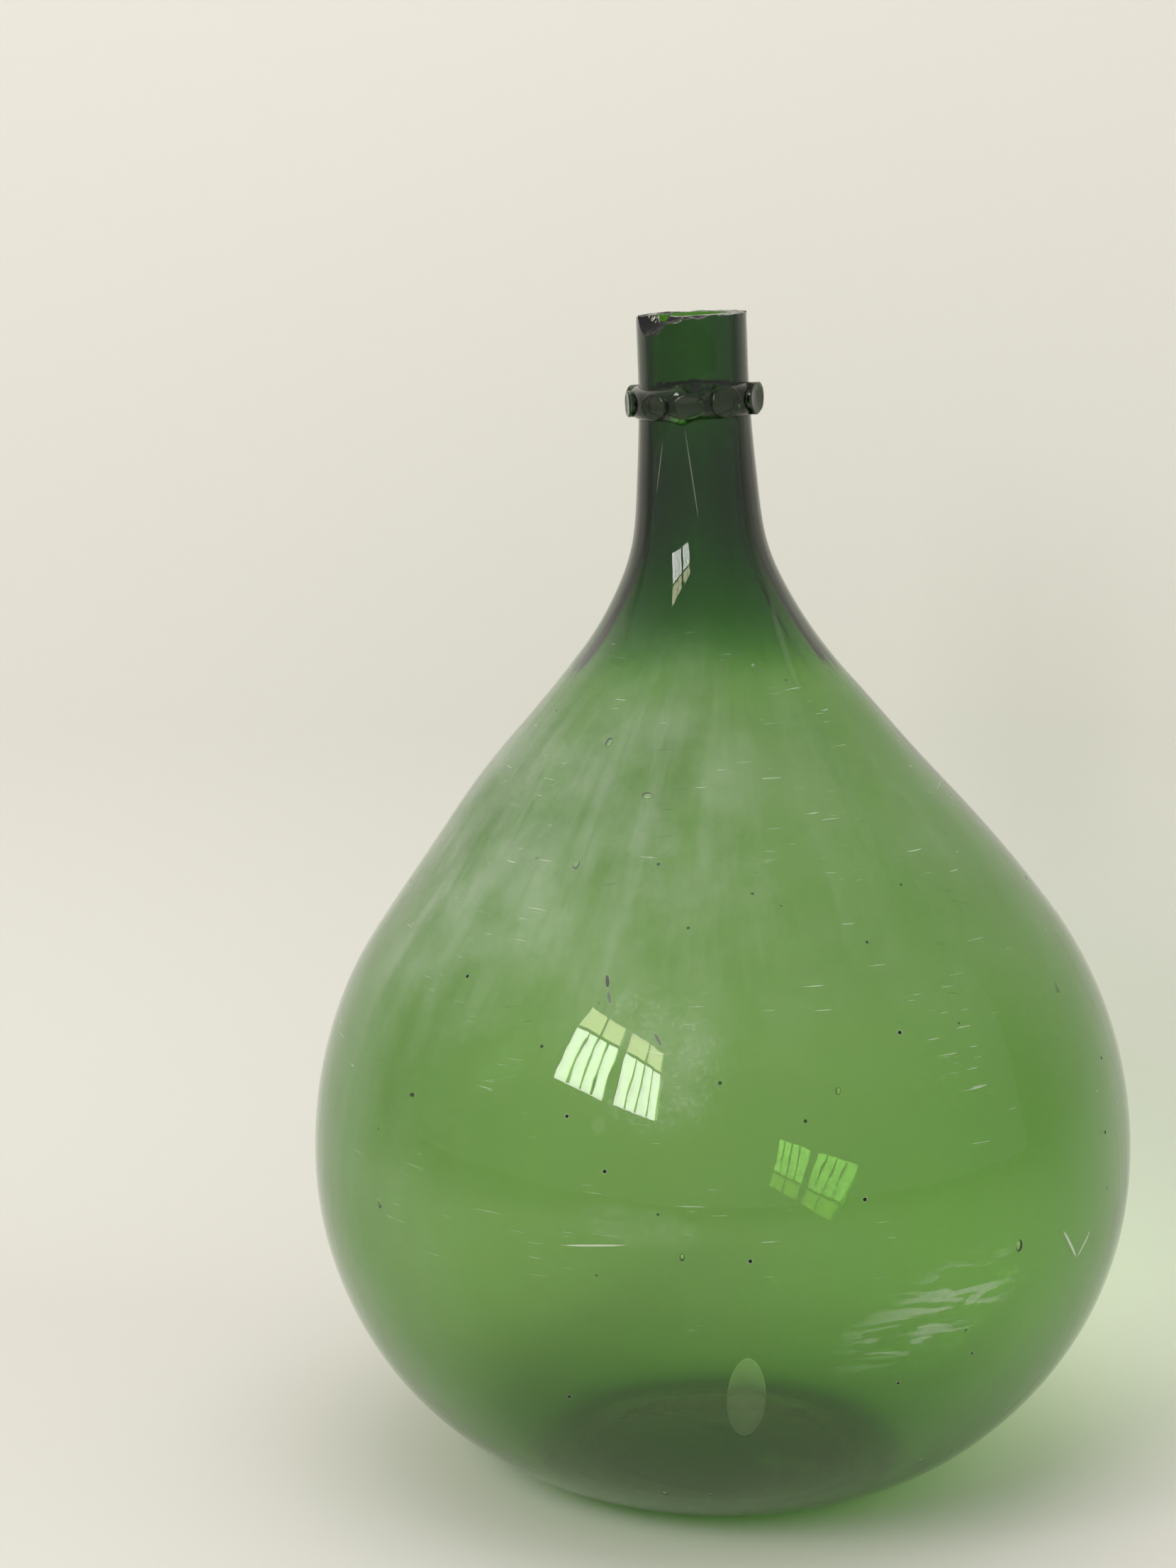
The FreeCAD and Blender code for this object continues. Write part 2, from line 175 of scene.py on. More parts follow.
class Wire:
    """One output of a shader node. Arithmetic on wires adds Math nodes."""

    def __init__(self, tree, socket):
        self.tree = tree
        self.socket = socket

    def node(self, kind, settings=None, inputs=None, output=0):
        """Any node: its settings first, then the values or wires of its inputs."""
        made = self.tree.nodes.new(kind)
        for name, value in (settings or {}).items():
            if name == "stops":
                ramp = made.color_ramp.elements
                for number, (place, colour) in enumerate(value):
                    stop = ramp[number] if number < len(ramp) else ramp.new(place)
                    stop.position = place
                    stop.color = colour
            else:
                setattr(made, name, value)
        for name, value in (inputs or {}).items():
            if isinstance(value, Wire):
                self.tree.links.new(value.socket, made.inputs[name])
            else:
                made.inputs[name].default_value = value
        return Wire(self.tree, made.outputs[output]) if made.outputs else None

    def out(self, name):
        return Wire(self.tree, self.socket.node.outputs[name])

    def maths(self, operation, first, second=0.0):
        return self.node("ShaderNodeMath", {"operation": operation}, {0: first, 1: second})

    def __add__(self, other):
        return self.maths("ADD", self, other)

    __radd__ = __add__

    def __sub__(self, other):
        return self.maths("SUBTRACT", self, other)

    def __rsub__(self, other):
        return self.maths("SUBTRACT", other, self)

    def __mul__(self, other):
        return self.maths("MULTIPLY", self, other)

    __rmul__ = __mul__

    def __pow__(self, other):
        return self.maths("POWER", self, other)

    def highest(self, other):
        return self.maths("MAXIMUM", self, other)

    def rise(self, low, high):
        """0 below low, 1 above high, and smooth between them."""
        return self.node("ShaderNodeMapRange", {"interpolation_type": "SMOOTHSTEP"},
                         {"Value": self, "From Min": low, "From Max": high})


def new_material(name):
    """An empty material and a wire of its object coordinates to build from."""
    material = bpy.data.materials.new(name)
    material.use_nodes = True
    material.node_tree.nodes.clear()
    start = Wire(material.node_tree, None)
    return material, start.node("ShaderNodeTexCoord").out("Object")


# ---------------------------------------------------------------- camera and stage

CAMERA_PLACE = (0.0, -1.4087, 0.5545)
CAMERA_TURN = (math.radians(79.343), 0.0, math.radians(2.266))
CAMERA_LENS = 80.12
CAMERA_SENSOR = 36.0


def camera():
    """Stands in front, a little above the rim, and looks slightly down and left."""
    data = bpy.data.cameras.new("camera")
    data.lens = CAMERA_LENS
    data.sensor_width = CAMERA_SENSOR
    view = bpy.data.objects.new("camera", data)
    view.location = CAMERA_PLACE
    view.rotation_euler = CAMERA_TURN
    bpy.context.scene.collection.objects.link(view)
    bpy.context.scene.camera = view


CLOTH_COLOUR = (0.80, 0.785, 0.74, 1.0)
SHEET_BACK = 0.42
SHEET_BEND = 0.24
SHEET_TOP = 1.6
STAGE_HALF_WIDTH = 12.0
FLOOR_REACH = 12.0
SHEET_SPACING = 0.016
UNDER_SHEET = -0.0005


def cloth_material():
    """Matt off-white cloth whose back can be seen through."""
    material, place = new_material("plain_cloth")
    cloth = place.node("ShaderNodeBsdfPrincipled", None,
                       {"Base Color": CLOTH_COLOUR, "Roughness": 0.9, "Specular IOR Level": 0.1})
    clear = place.node("ShaderNodeBsdfTransparent")
    behind = place.node("ShaderNodeNewGeometry").out("Backfacing")
    shown = place.node("ShaderNodeMixShader", None, {0: behind, 1: cloth, 2: clear})
    place.node("ShaderNodeOutputMaterial", None, {"Surface": shown})
    return material


def pulled_cloth(name, bm, material):
    """Cloth from a line drawn front to back: the line is pulled along X, its face up and forwards."""
    bmesh.ops.rotate(bm, cent=(0, 0, 0), matrix=Matrix.Rotation(QUARTER, 3, "Z"), verts=bm.verts)
    bmesh.ops.translate(bm, vec=(-STAGE_HALF_WIDTH, 0, 0), verts=bm.verts)
    pulled = bmesh.ops.extrude_edge_only(bm, edges=bm.edges[:])["geom"]
    moved = [g for g in pulled if isinstance(g, bmesh.types.BMVert)]
    bmesh.ops.translate(bm, vec=(2 * STAGE_HALF_WIDTH, 0, 0), verts=moved)
    for face in bm.faces:
        face.smooth = True
        face.normal_update()
        if face.normal.z - face.normal.y < 0:
            face.normal_flip()
    finished(name, bm, material)


def stage():
    """Pale cloth: it lies under the carboy and hangs close behind it."""
    cloth = cloth_material()
    bend_start = SHEET_BACK - SHEET_BEND
    bm = bmesh.new()
    pen = Pen(bm, (-FLOOR_REACH, 0.0))
    pen.line((bend_start, 0.0), FLOOR_REACH)
    pen.arc((bend_start, SHEET_BEND), QUARTER, SHEET_SPACING)
    pen.line((SHEET_BACK, SHEET_TOP), SHEET_TOP)
    pulled_cloth("sheet", bm, cloth)
    bm = bmesh.new()
    Pen(bm, (bend_start, UNDER_SHEET)).line((FLOOR_REACH, UNDER_SHEET), FLOOR_REACH)
    pulled_cloth("floor_behind", bm, cloth)


# The window stands upright to the left of the front: two casements, each with a crossbar and
# thin bars. Less light, and yellower, comes through the panes above the crossbar.
WALL_TURN = math.radians(-60.0)
WALL_DISTANCE = 1.5
CASEMENTS = ((0.31, 0.76), (0.86, 1.32))
WINDOW_FOOT = 0.86
WINDOW_CROSSBAR = 1.39
WINDOW_HEAD = 1.68
PANES = ((WINDOW_FOOT, WINDOW_CROSSBAR, 12.0, (1.0, 0.99, 0.96)),
         (WINDOW_CROSSBAR, WINDOW_HEAD, 7.0, (1.0, 0.93, 0.62)))
BAR_WIDTH = 0.036
THIN_BAR_WIDTH = 0.019
BAR_STAND_OFF = 0.02
UPPER_BAR_SHARE = 0.7
THIN_BARS_AT = (0.25, 0.50, 0.75)
WOOD_COLOUR = (0.30, 0.30, 0.26, 1.0)


def casement_bars(wall, start, end, wood):
    """One casement's crossbar and upright bars, close in front of its panes."""
    width = end - start
    middle = (start + end) / 2
    upper = WINDOW_HEAD - WINDOW_CROSSBAR
    lower = WINDOW_CROSSBAR - WINDOW_FOOT
    bars = [(middle, WINDOW_CROSSBAR, width, BAR_WIDTH),
            (middle, WINDOW_CROSSBAR + upper / 2, BAR_WIDTH * UPPER_BAR_SHARE, upper)]
    for share in THIN_BARS_AT:
        bars.append((start + width * share, WINDOW_FOOT + lower / 2, THIN_BAR_WIDTH, lower))
    bm = bmesh.new()
    for along, up, wide, tall in bars:
        place = wall @ Matrix.Translation((along, up, BAR_STAND_OFF)) @ Matrix.Diagonal((wide, tall, 1, 1))
        bmesh.ops.create_grid(bm, x_segments=1, y_segments=1, size=0.5, matrix=place)
    made = finished("window_bars", bm, wood)
    made.visible_camera = False


def window():
    """Soft daylight from a tall window: an area lamp for each casement's lower and upper panes."""
    wood, place = new_material("window_bars")
    dark = place.node("ShaderNodeBsdfDiffuse", None, {"Color": WOOD_COLOUR})
    place.node("ShaderNodeOutputMaterial", None, {"Surface": dark})
    outward = Vector((math.sin(WALL_TURN), -math.cos(WALL_TURN), 0))
    along = Vector((math.cos(WALL_TURN), math.sin(WALL_TURN), 0))
    upright = Matrix((along, (0, 0, 1), -outward)).transposed().to_4x4()
    wall = Matrix.Translation(outward * WALL_DISTANCE) @ upright
    for start, end in CASEMENTS:
        for foot, head, strength, colour in PANES:
            lamp = bpy.data.lights.new("casement", "AREA")
            lamp.shape = "RECTANGLE"
            lamp.size = end - start
            lamp.size_y = head - foot
            lamp.energy = strength * math.pi * lamp.size * lamp.size_y
            lamp.color = colour
            casement = bpy.data.objects.new("casement", lamp)
            centre = Matrix.Translation(((start + end) / 2, (foot + head) / 2, 0))
            casement.matrix_world = wall @ centre @ Matrix.Rotation(math.pi, 4, "Y")
            casement.visible_camera = False
            bpy.context.scene.collection.objects.link(casement)
        casement_bars(wall, start, end, wood)


OVERHEAD_PLACE = (-0.1, -0.6, 2.2)
OVERHEAD_SIDE = 1.5
OVERHEAD_LIGHT = 1.4


def overhead():
    """A wide soft lamp above, which lights the floor and shows in no mirror."""
    lamp = bpy.data.lights.new("overhead", "AREA")
    lamp.shape = "SQUARE"
    lamp.size = OVERHEAD_SIDE
    lamp.energy = OVERHEAD_LIGHT * math.pi * OVERHEAD_SIDE ** 2
    above = bpy.data.objects.new("overhead", lamp)
    above.location = OVERHEAD_PLACE
    above.visible_camera = False
    above.visible_glossy = False
    above.visible_transmission = False
    bpy.context.scene.collection.objects.link(above)


STUDIO_LIGHT = 0.62
STUDIO_COLOUR = (1.0, 0.99, 0.96, 1.0)


def surroundings():
    """An even pale studio, the same for the floor, the mirrors and the glass."""
    world = bpy.data.worlds.new("studio")
    bpy.context.scene.world = world
    world.use_nodes = True
    world.node_tree.nodes.clear()
    start = Wire(world.node_tree, None)
    even = start.node("ShaderNodeBackground", None, {"Color": STUDIO_COLOUR, "Strength": STUDIO_LIGHT})
    start.node("ShaderNodeOutputWorld", None, {"Surface": even})


# ---------------------------------------------------------------- glass

GLASS_DENSITY = 520.0
GLASS_COLOUR = (0.33, 0.64, 0.0, 1.0)
GLASS_IOR = 1.5
CLEAR = (1.0, 1.0, 1.0, 1.0)

# What one skin lets through of the light that casts shadows; the wall's own green comes on top.
SKIN_PASSES = (0.94, 0.95, 0.93, 1.0)


def lets_light_through(surface):
    """Lamp light passes the glass and falls green behind it, where plain glass would block it."""
    passing = surface.node("ShaderNodeBsdfTransparent", None, {"Color": SKIN_PASSES})
    shadow = surface.node("ShaderNodeLightPath").out("Is Shadow Ray")
    return surface.node("ShaderNodeMixShader", None, {0: shadow, 1: surface, 2: passing})


# Single marks in the surface, and one painted reflection streak: start, end, half width, how strong.
PALE_MARKS_AND_PAINTED_STREAK = (
    ((-0.0605, -0.1588, 0.1433), (-0.0337, -0.1664, 0.1462), 0.00030, 0.5),
    ((0.1327, -0.1063, 0.1349), (0.1396, -0.0952, 0.1198), 0.0005, 0.7),
    ((0.1396, -0.0952, 0.1198), (0.1457, -0.0871, 0.1289), 0.0005, 0.6),
    ((-0.0252, -0.0192, 0.4325), (-0.0280, -0.0187, 0.4098), 0.0002, 0.12),
    ((-0.0167, -0.0224, 0.4384), (-0.0109, -0.0265, 0.3994), 0.0002, 0.12),
    ((0.0176, -0.0211, 0.3733), (0.0316, -0.0479, 0.3319), 0.0014, 0.05),
    ((0.0316, -0.0479, 0.3319), (0.0458, -0.1185, 0.2511), 0.0020, 0.06),
    # Painted reflection: this wide pale streak down the upper left stands in for a reflected band, not a
    # mark in the glass.
    ((-0.0422, -0.0567, 0.3243), (-0.1025, -0.1188, 0.2024), 0.0060, 0.09),
    ((-0.0458, -0.1552, 0.1930), (-0.0458, -0.1562, 0.1850), 0.0022, 0.04),
)
DARK_MARKS = (
    ((-0.0436, -0.1278, 0.2406), (-0.0430, -0.1318, 0.2354), 0.0007, 0.9),
    ((-0.0430, -0.1318, 0.2354), (-0.0420, -0.1358, 0.2303), 0.0006, 0.8),
    ((-0.0255, -0.1446, 0.2226), (-0.0222, -0.1482, 0.2173), 0.0005, 0.8),
)


# Wide soft patches: painted glints, a pale film along a wavy band low at the front that stands in for
# highlights, and rubbed dust left of the middle.
PAINTED_GLINT_BAND = (((0.0360, -0.1570, 0.1000), (0.1140, -0.1250, 0.1300), 0.0160, 1.0),)
PAINTED_GLINT_TURN = (0.0, -0.38, 0.42)
DUSTY_PATCH = (((-0.0500, -0.1330, 0.2300), (-0.0030, -0.1600, 0.1920), 0.0200, 1.0),
               ((-0.0550, -0.1590, 0.1560), (-0.0060, -0.1690, 0.1500), 0.0060, 0.5))


def marks(place, listed, grains):
    """The strongest of a list of single marks, each an ellipsoid laid along the surface."""
    strongest = None
    for start, end, half_width, strength in listed:
        start, end = Vector(start), Vector(end)
        along = (end - start).normalized()
        middle = (start + end) / 2
        outward = Vector((middle.x, middle.y, 0.0))
        if middle.z < 0.3:
            outward.z = middle.z - BELLY_HEIGHT
        across = outward.cross(along).normalized()
        turned = Matrix((along, across, along.cross(across))).transposed().to_euler()
        length = (end - start).length / 2
        depth = 0.004 + length ** 2 * 4
        inside = place.node("ShaderNodeMapping", {"vector_type": "TEXTURE"},
                            {"Vector": place, "Location": middle, "Rotation": turned,
                             "Scale": (length * 1.1, half_width * 1.6, depth)})
        shown = inside.node("ShaderNodeTexGradient", {"gradient_type": "SPHERICAL"},
                            {"Vector": inside}, 1)
        shown = (shown * (0.4 + grains * 1.2)).rise(0.03, 0.40) * strength
        strongest = shown if strongest is None else strongest.highest(shown)
    return strongest


def grown(place, scale, detail, roughness=0.5):
    """A cloudy noise, about 0.5 everywhere, at a scale."""
    return place.node("ShaderNodeTexNoise", None,
                      {"Vector": place, "Scale": scale, "Detail": detail, "Roughness": roughness})


def under_dust(place, cover, rolling, dusty):
    """Joins clear glass and the dust on it by cover, with the glass green all through."""
    clear = place.node("ShaderNodeBsdfPrincipled", None,
                       {"Base Color": CLEAR, "Roughness": 0.0, "IOR": GLASS_IOR,
                        "Transmission Weight": 1.0, "Normal": rolling})
    surface = place.node("ShaderNodeMixShader", None, {0: cover, 1: clear, 2: dusty})
    depth = place.node("ShaderNodeVolumeAbsorption", None,
                       {"Color": GLASS_COLOUR, "Density": GLASS_DENSITY})
    place.node("ShaderNodeOutputMaterial", None,
               {"Surface": lets_light_through(surface), "Volume": depth})


# Where dust lies, in metres: it comes in and goes out over these levels. The pale film also grows over these
# distances towards -X, the window side, and thins towards +X: that extra film is painted light, the side the
# window lights drawn paler.
SHOULDER_DUST_IN = (0.185, 0.270)
SHOULDER_DUST_OUT = (0.305, 0.375)
FOOT_DUST_OUT = (0.010, 0.060)
SHOULDER_PAINTED_LIGHT_FADES = (-0.05, 0.04)
SIDE_PAINTED_LIGHT_IN = (0.075, 0.150)


def dust_and_painted_light(place, level, clouds, streaks, grains):
    """Thin dust, most on the shoulder, with the rubbed patches; painted light on top of it: more pale film
    on the window side, and painted glints along a wavy band.
    """
    sideways = level.out("X")
    on_shoulder = level.rise(*SHOULDER_DUST_IN) * (1.0 - level.rise(*SHOULDER_DUST_OUT))
    near_foot = (1.0 - level.rise(*FOOT_DUST_OUT)) * 0.012
    # Painted light: the pale film thickens towards -X, the side the window lights, and thins to +X.
    painted_lit_side = 1.0 - sideways.rise(*SHOULDER_PAINTED_LIGHT_FADES) * 0.72
    painted_lit_flank = (0.0 - sideways).rise(*SIDE_PAINTED_LIGHT_IN)
    film = ((0.003 + on_shoulder * painted_lit_side * 0.165 + painted_lit_flank * 0.055 + near_foot)
            * (0.25 + clouds.rise(0.32, 0.72) * 0.9 + streaks.rise(0.40, 0.68) * 0.5))
    rubbed = clouds.rise(0.4, 0.7) + grains.rise(0.5, 0.8)
    film = film + marks(place, DUSTY_PATCH, grains) * rubbed * 0.10
    # Painted glints: pale film in a wavy band low at the front stands in for highlights on the glass.
    glint_mapping = place.node("ShaderNodeMapping", None,
                         {"Vector": place, "Rotation": PAINTED_GLINT_TURN, "Scale": (26.0, 60.0, 210.0)})
    glint_ripples = glint_mapping.node("ShaderNodeTexNoise", None, {"Vector": glint_mapping, "Scale": 1.0, "Detail": 2.0,
                                                         "Distortion": 0.8})
    return film + marks(place, PAINTED_GLINT_BAND, grains) * glint_ripples.rise(0.50, 0.60) * 0.28


# The body was handled between these levels.
HANDLED_FROM = (0.060, 0.200)
HANDLED_TO = (0.330, 0.380)


def fine_scratches(place, level, clouds):
    """Two crossing families of short fine scratches."""
    slanted = place.node("ShaderNodeMapping", None,
                         {"Vector": place, "Rotation": (0.5, 0.6, 0.2), "Scale": (60.0, 60.0, 1400.0)})
    crossed = place.node("ShaderNodeMapping", None,
                         {"Vector": place, "Rotation": (-0.7, 0.3, 0.9), "Scale": (50.0, 50.0, 1100.0)})
    lines = grown(slanted, 1.0, 1.0).rise(0.72, 0.78) + grown(crossed, 1.0, 1.0).rise(0.74, 0.80) * 0.7
    on_body = level.rise(*HANDLED_FROM) * (1.0 - level.rise(*HANDLED_TO)) * 0.9 + 0.1
    return lines * clouds.rise(0.44, 0.60) * on_body * 0.45


def dark_specks(place):
    """Small dark stones, in about one cell in five."""
    cells = place.node("ShaderNodeTexVoronoi", None, {"Vector": place, "Scale": 72.0, "Randomness": 1.0})
    chosen = cells.node("ShaderNodeSeparateXYZ", None, {0: cells.out("Color")}, 0)
    return (1.0 - cells.rise(0.045, 0.080)) * chosen.rise(0.78, 0.79)


PALE_DUST = (0.74, 0.78, 0.72, 1.0)
BLACK_SPECK = (0.006, 0.012, 0.004, 1.0)
WAVE_DEPTH = 0.000022
GRAIN_DEPTH = 0.0002


def worn_glass(name):
    """Clear green glass with a dusty, scratched skin on its outside and faint waves in it."""
    material, place = new_material(name)
    level = place.node("ShaderNodeSeparateXYZ", None, {0: place}, 2)
    across = place.node("ShaderNodeVectorMath", {"operation": "MULTIPLY"}, {0: place, 1: (1.0, 1.0, 0.0)})
    around = across.node("ShaderNodeVectorMath", {"operation": "NORMALIZE"}, {0: across})
    drawn = around.node("ShaderNodeVectorMath", {"operation": "MULTIPLY_ADD"},
                        {0: place, 1: (0.6, 0.6, 1.5), 2: around})
    streaks = grown(drawn, 7.0, 5.0, 0.62)
    clouds = grown(place, 22.0, 5.0, 0.6)
    grains = grown(place, 420.0, 2.0, 0.7)

    black = marks(place, DARK_MARKS, grains).highest(dark_specks(place))
    # The pale cover mixes real dust, scratches and marks with painted light: the window side's extra film,
    # the painted glints and the painted reflection streak.
    worn_and_painted_light = dust_and_painted_light(place, level, clouds, streaks, grains) + fine_scratches(place, level, clouds)
    outside = place.node("ShaderNodeAttribute", {"attribute_name": "outside"}, None, 2)
    cover = worn_and_painted_light.highest(marks(place, PALE_MARKS_AND_PAINTED_STREAK, grains)).highest(black) * outside

    long_ways = place.node("ShaderNodeVectorMath", {"operation": "MULTIPLY"}, {0: place, 1: (1.0, 1.0, 0.3)})
    waves = grown(long_ways, 85.0, 2.0) + grains * 0.01 + grown(drawn, 8.0, 3.0) * 2.4
    rolling = place.node("ShaderNodeBump", None,
                         {"Strength": 1.0, "Distance": WAVE_DEPTH, "Height": waves})
    rough = place.node("ShaderNodeBump", None,
                       {"Strength": 0.5, "Distance": GRAIN_DEPTH, "Height": grains})
    dust_colour = black.node("ShaderNodeMix", {"data_type": "RGBA"},
                             {0: black, 6: PALE_DUST, 7: BLACK_SPECK}, 2)
    dusty = place.node("ShaderNodeBsdfPrincipled", None,
                       {"Base Color": dust_colour, "Roughness": 0.55 + clouds * 0.3, "Normal": rough,
                        "Specular IOR Level": 0.2})
    under_dust(place, cover, rolling, dusty)
    return material


GRIME = (0.30, 0.31, 0.27, 1.0)
LOOSE_DUST = (0.62, 0.64, 0.58, 1.0)
TRAIL_WAVE_DEPTH = 0.00003


def trail_glass(name, streak_scale, dust):
    """The glass of the ring and bosses: the same metal, pulled and pressed, dust on its top."""
    material, place = new_material(name)
    flow = grown(place, streak_scale, 4.0, 0.55)
    grains = grown(place, 900.0, 3.0, 0.7)
    facing = place.node("ShaderNodeNewGeometry", None, None, 1)
    up = facing.node("ShaderNodeSeparateXYZ", None, {0: facing}, 2)
    cover = (0.004 + up.rise(0.5, 0.95) * dust) * (0.4 + flow) + grains.rise(0.74, 0.80) * 0.05
    rolling = place.node("ShaderNodeBump", None,
                         {"Strength": 1.0, "Distance": TRAIL_WAVE_DEPTH, "Height": flow + grains * 0.02})
    dust_colour = flow.node("ShaderNodeMix", {"data_type": "RGBA"}, {0: flow, 6: GRIME, 7: LOOSE_DUST}, 2)
    dusty = place.node("ShaderNodeBsdfPrincipled", None,
                       {"Base Color": dust_colour, "Roughness": 0.5 + flow * 0.3})
    under_dust(place, cover, rolling, dusty)
    return material


# ---------------------------------------------------------------- vessel

BODY_SPACING = 0.0050
NECK_SPACING = 0.0040
RIM_SPACING = 0.0008
CRACKED_DEPTH = 0.016


def draw_skin(bm, wall, floor, punt, bend, flare, neck):
    """One skin's half section, from the middle of the foot to below the rim. Returns its pen."""
    sphere = BODY_RADIUS - wall
    bowl = BELLY_HEIGHT + BOWL_SURPLUS - wall
    heel = HEEL_RADIUS - wall
    heel_level = floor + heel
    heel_reach = math.sqrt((bowl - heel) ** 2 - (BELLY_HEIGHT - heel_level) ** 2)
    bowl_centre = (sphere - bowl, BELLY_HEIGHT)
    heel_centre = (bowl_centre[0] + heel_reach, heel_level)
    heel_end = math.atan2(heel_level - BELLY_HEIGHT, heel_reach)
    ring_inside = heel_centre[0] - FOOT_RING_WIDTH
    punt_rise = punt - floor
    punt_radius = (ring_inside ** 2 + punt_rise ** 2) / (2 * punt_rise)
    punt_edge = math.atan2(floor - punt + punt_radius, ring_inside)

    pen = Pen(bm, (0.0, punt))
    pen.arc((0.0, punt - punt_radius), punt_edge - QUARTER, BODY_SPACING)
    pen.line((heel_centre[0], floor), BODY_SPACING)
    pen.arc(heel_centre, heel_end + QUARTER, BODY_SPACING)
    pen.arc(bowl_centre, -heel_end, BODY_SPACING)
    pen.arc((0.0, BELLY_HEIGHT), SHOULDER_LATITUDE, BODY_SPACING)

    shoulder = SHOULDER_RADIUS - wall
    throat = neck + flare
    high = math.acos(1 - flare / FLARE_RADIUS)
    reach = sphere * math.cos(SHOULDER_LATITUDE) - throat
    turn = math.acos((shoulder * math.cos(SHOULDER_LATITUDE) + bend * math.cos(high) - reach)
                     / (shoulder + bend))
    shoulder_centre = polar((0.0, BELLY_HEIGHT), sphere - shoulder, SHOULDER_LATITUDE)
    bend_centre = polar(shoulder_centre, shoulder + bend, turn)
    pen.arc(shoulder_centre, turn - SHOULDER_LATITUDE, BODY_SPACING)
    pen.arc(bend_centre, high - turn, NECK_SPACING)
    if flare:
        throat_point = polar(bend_centre, bend, math.pi + high)
        pen.arc(polar(throat_point, FLARE_RADIUS, high), -high, NECK_SPACING)
    return pen, bend_centre[1] - bend * math.sin(high)


# The cracked rim's roughness: how many waves to a metre, and how deep.
RIM_FINE, RIM_FINE_DEPTH = 900, 0.00022
RIM_BROAD, RIM_BROAD_DEPTH = 160, 0.00040


def rim_height(azimuth, radius, rim):
    """How high the cracked-off rim stands at a place on its face."""
    x, y = radius * math.cos(azimuth), radius * math.sin(azimuth)
    fine = noise.noise(Vector((x * RIM_FINE, y * RIM_FINE, 3.0)))
    broad = noise.noise(Vector((x * RIM_BROAD, y * RIM_BROAD, 9.0)))
    height = rim - RIM_BROAD_DEPTH + RIM_BROAD_DEPTH * broad - RIM_FINE_DEPTH * abs(fine)
    for degrees, bite, depth, outward in RIM_CHIPS + RIM_FLAKES:
        centre = polar((0.0, 0.0), NECK_RADIUS + outward, math.radians(degrees))
        away = math.hypot(x - centre[0], y - centre[1])
        if away < bite:
            shell = rim + bite - depth - math.sqrt(bite ** 2 - away ** 2)
            shell += 0.00008 * math.sin(away * 5200) + 0.0001 * fine
            height = min(height, shell)
    return height


# Where the blown shape strays from true: level, spread, how far outwards, how far to -X.
STRAYS = (
    (0.386, 0.018, -0.0014, 0.0000),
    (0.340, 0.014, 0.0009, 0.0006),
    (0.300, 0.028, 0.0000, 0.0023),
)


def leaned(place):
    """Turns the upper part about the belly's centre, more and more up to the shoulder."""
    out = math.hypot(place.x, place.y)
    share = smoothed(math.atan2(place.z - BELLY_HEIGHT, out), 0.0, SHOULDER_LATITUDE)
    return BELLY + Matrix.Rotation(-NECK_LEAN * share, 3, "Y") @ (place - BELLY)


# Nothing strays at the axis, and the straying grows over this distance from it.
TRUE_AXIS = 0.012


def blown(place, outer):
    """The unevenness of a free-blown body and its wall, then its lean."""
    out = math.hypot(place.x, place.y)
    share = smoothed(out, 0.03, 0.1)
    swell = (0.0006 * noise.noise(place * 11.0) - 0.0003) * share
    swell += 0.00006 * noise.noise(place * 45.0) * (0.4 + 0.6 * share)
    if not outer:
        swell += 0.00022 * noise.noise(place * 14.0 + Vector((5.0, 2.0, 7.0))) * share
        swell += 0.00002 * noise.noise(place * 70.0 + Vector((1.0, 8.0, 3.0)))
    if out > 1e-6:
        round_neck = Vector((place.x / out, place.y / out, place.z * 1.5))
        drawn_out = 1 - smoothed(out, 0.03, 0.06)
        swell += drawn_out * (0.00016 if outer else 0.00075) * noise.noise(round_neck * 2.7)
        swell += drawn_out * (0.00005 if outer else 0.00030) * noise.noise(round_neck * 8.0)
    shift = 0.0
    for level, spread, outward, sideways in STRAYS:
        share = bump_at(place.z, level, spread)
        swell += outward * share
        shift -= sideways * share
    if out > 1e-6:
        wider = 1 + swell * smoothed(place.z, 0.0, HEEL_RADIUS) * smoothed(out, 0.0, TRUE_AXIS) / out
        place = Vector((place.x * wider, place.y * wider, place.z))
    place = leaned(place)
    return place + Vector((shift, 0, 0))


# Bubbles shut in the wall: degrees round from +X, level, width and height.
BUBBLES = (
    (273.7, 0.0830, 0.0150, 0.0400),
    (250.7, 0.3010, 0.0043, 0.0030),
    (233.9, 0.3180, 0.0030, 0.0042),
    (210.3, 0.0300, 0.0026, 0.0040),
    (222.0, 0.0300, 0.0022, 0.0034),
    (259.9, 0.0290, 0.0026, 0.0040),
    (268.6, 0.0300, 0.0022, 0.0030),
    (307.9, 0.0379, 0.0026, 0.0044),
    (265.2, 0.1425, 0.0018, 0.0030),
    (312.4, 0.1344, 0.0036, 0.0048),
    (24.0, 0.1900, 0.0030, 0.0060),
    (71.0, 0.1150, 0.0024, 0.0036),
    (118.0, 0.2300, 0.0034, 0.0058),
    (160.0, 0.0900, 0.0022, 0.0030),
)


